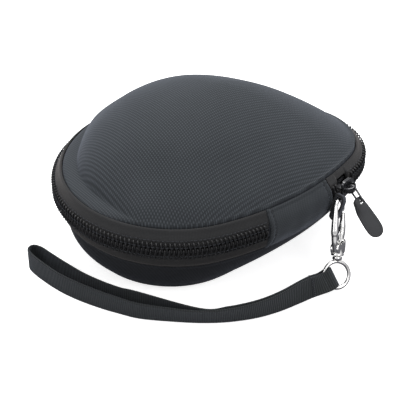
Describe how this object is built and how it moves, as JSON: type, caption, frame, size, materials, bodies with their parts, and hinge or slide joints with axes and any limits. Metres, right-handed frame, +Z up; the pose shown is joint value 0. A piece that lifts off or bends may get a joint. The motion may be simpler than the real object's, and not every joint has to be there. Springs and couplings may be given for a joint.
{
  "type": "headphone carrying case",
  "caption": "Teardrop zipped hard-shell headphone case with domed lid, soft hinge panel, rubber zip pull and a webbing wrist strap on a swivel clasp.",
  "frame": {"origin": "on the flat underside of the base, under the centre of the round end", "axes": "+X from the round end to the narrow end, +Z up through the lid; the hinge panel and strap are on the -Y side"},
  "size_m": [0.1872, 0.1463, 0.0934],
  "materials": {
    "dome_fabric": "fine diagonal weave",
    "base_fabric": "fine diagonal weave",
    "panel_fabric": "fine diagonal weave",
    "foam": "matt closed-cell foam",
    "lining": "brushed knit",
    "binding": "ribbed tape",
    "tape": "fine knit",
    "coil": "satin",
    "slider_paint": "gloss",
    "rubber": "matt",
    "webbing_dark": "ribbed",
    "plated": "bright",
    "spring_steel": "satin",
    "webbing": "ribbed",
    "thread": "twisted thread"
  },
  "bodies": {
    "base": {"base_cover": "base_fabric", "base_shell": "foam", "base_lining": "lining", "base_binding": "binding", "zip_tape_lower": "tape", "zip_row_lower": "coil", "hinge_panel_lower": "panel_fabric", "hinge_lining_lower": "lining"},
    "lid": {"lid_cover": "dome_fabric", "lid_shell": "foam", "lid_lining": "lining", "lid_binding": "binding", "zip_tape_upper": "tape", "zip_row_upper": "coil", "zip_row_upper_end": "coil", "hinge_panel_upper": "panel_fabric", "hinge_lining_upper": "lining"},
    "slider": {"slider_body": "slider_paint"},
    "wire": {"pull_wire": "slider_paint"},
    "tab": {"pull_tab": "rubber"},
    "loop": {"lanyard_loop": "webbing_dark"},
    "clasp": {"clasp_hook": "plated", "gate_pin": "plated", "gate_spring": "spring_steel"},
    "gate": {"clasp_gate": "plated"},
    "eye": {"swivel_eye": "plated"},
    "strap": {"strap_webbing": "webbing", "strap_stitch": "thread"}
  },
  "joints": [
    {"name": "lid_open", "type": "hinge", "parent": "base", "child": "lid", "pos_m": [0.05193, -0.05429, 0.0425], "axis": [0.9178, 0.3971, 0], "range_deg": [0, 110]},
    {"name": "slider_travel", "type": "hinge", "parent": "base", "child": "slider", "pos_m": [-0.00899, 0.08648, 0.04], "axis": [0, 0, 1], "range_deg": [0, 5.5]},
    {"name": "pull_lift", "type": "hinge", "parent": "slider", "child": "wire", "pos_m": [0.08287, -0.04089, 0.0419], "axis": [-0.8111, -0.585, 0], "range_deg": [-12, 52]},
    {"name": "tab_swing", "type": "hinge", "parent": "wire", "child": "tab", "pos_m": [0.08616, -0.04545, 0.03607], "axis": [-0.8111, -0.585, 0], "range_deg": [-8, 8]},
    {"name": "loop_swing", "type": "hinge", "parent": "base", "child": "loop", "pos_m": [0.07366, -0.04269, 0.04173], "axis": [-0.4316, 0.6736, 0.6], "range_deg": [0, 22]},
    {"name": "clasp_swing", "type": "hinge", "parent": "loop", "child": "clasp", "pos_m": [0.07415, -0.04524, 0.03966], "axis": [-0.6723, -0.5402, 0.5062], "range_deg": [0, 8]},
    {"name": "gate_open", "type": "hinge", "parent": "clasp", "child": "gate", "pos_m": [0.07197, -0.05498, 0.01966], "axis": [0.7122, -0.6586, 0.243], "range_deg": [0, 6], "stiffness_Nm_per_rad": 0.01},
    {"name": "ring_swivel", "type": "hinge", "parent": "clasp", "child": "eye", "pos_m": [0.06633, -0.06551, 0.00765], "axis": [0.2021, 0.5239, 0.8275], "range_deg": [0, 55]},
    {"name": "strap_pivot", "type": "hinge", "parent": "eye", "child": "strap", "pos_m": [0.05983, -0.06681, 0.00592], "axis": [-0.3145, 0.4956, 0.8096], "range_deg": [0, 8]}
  ]
}
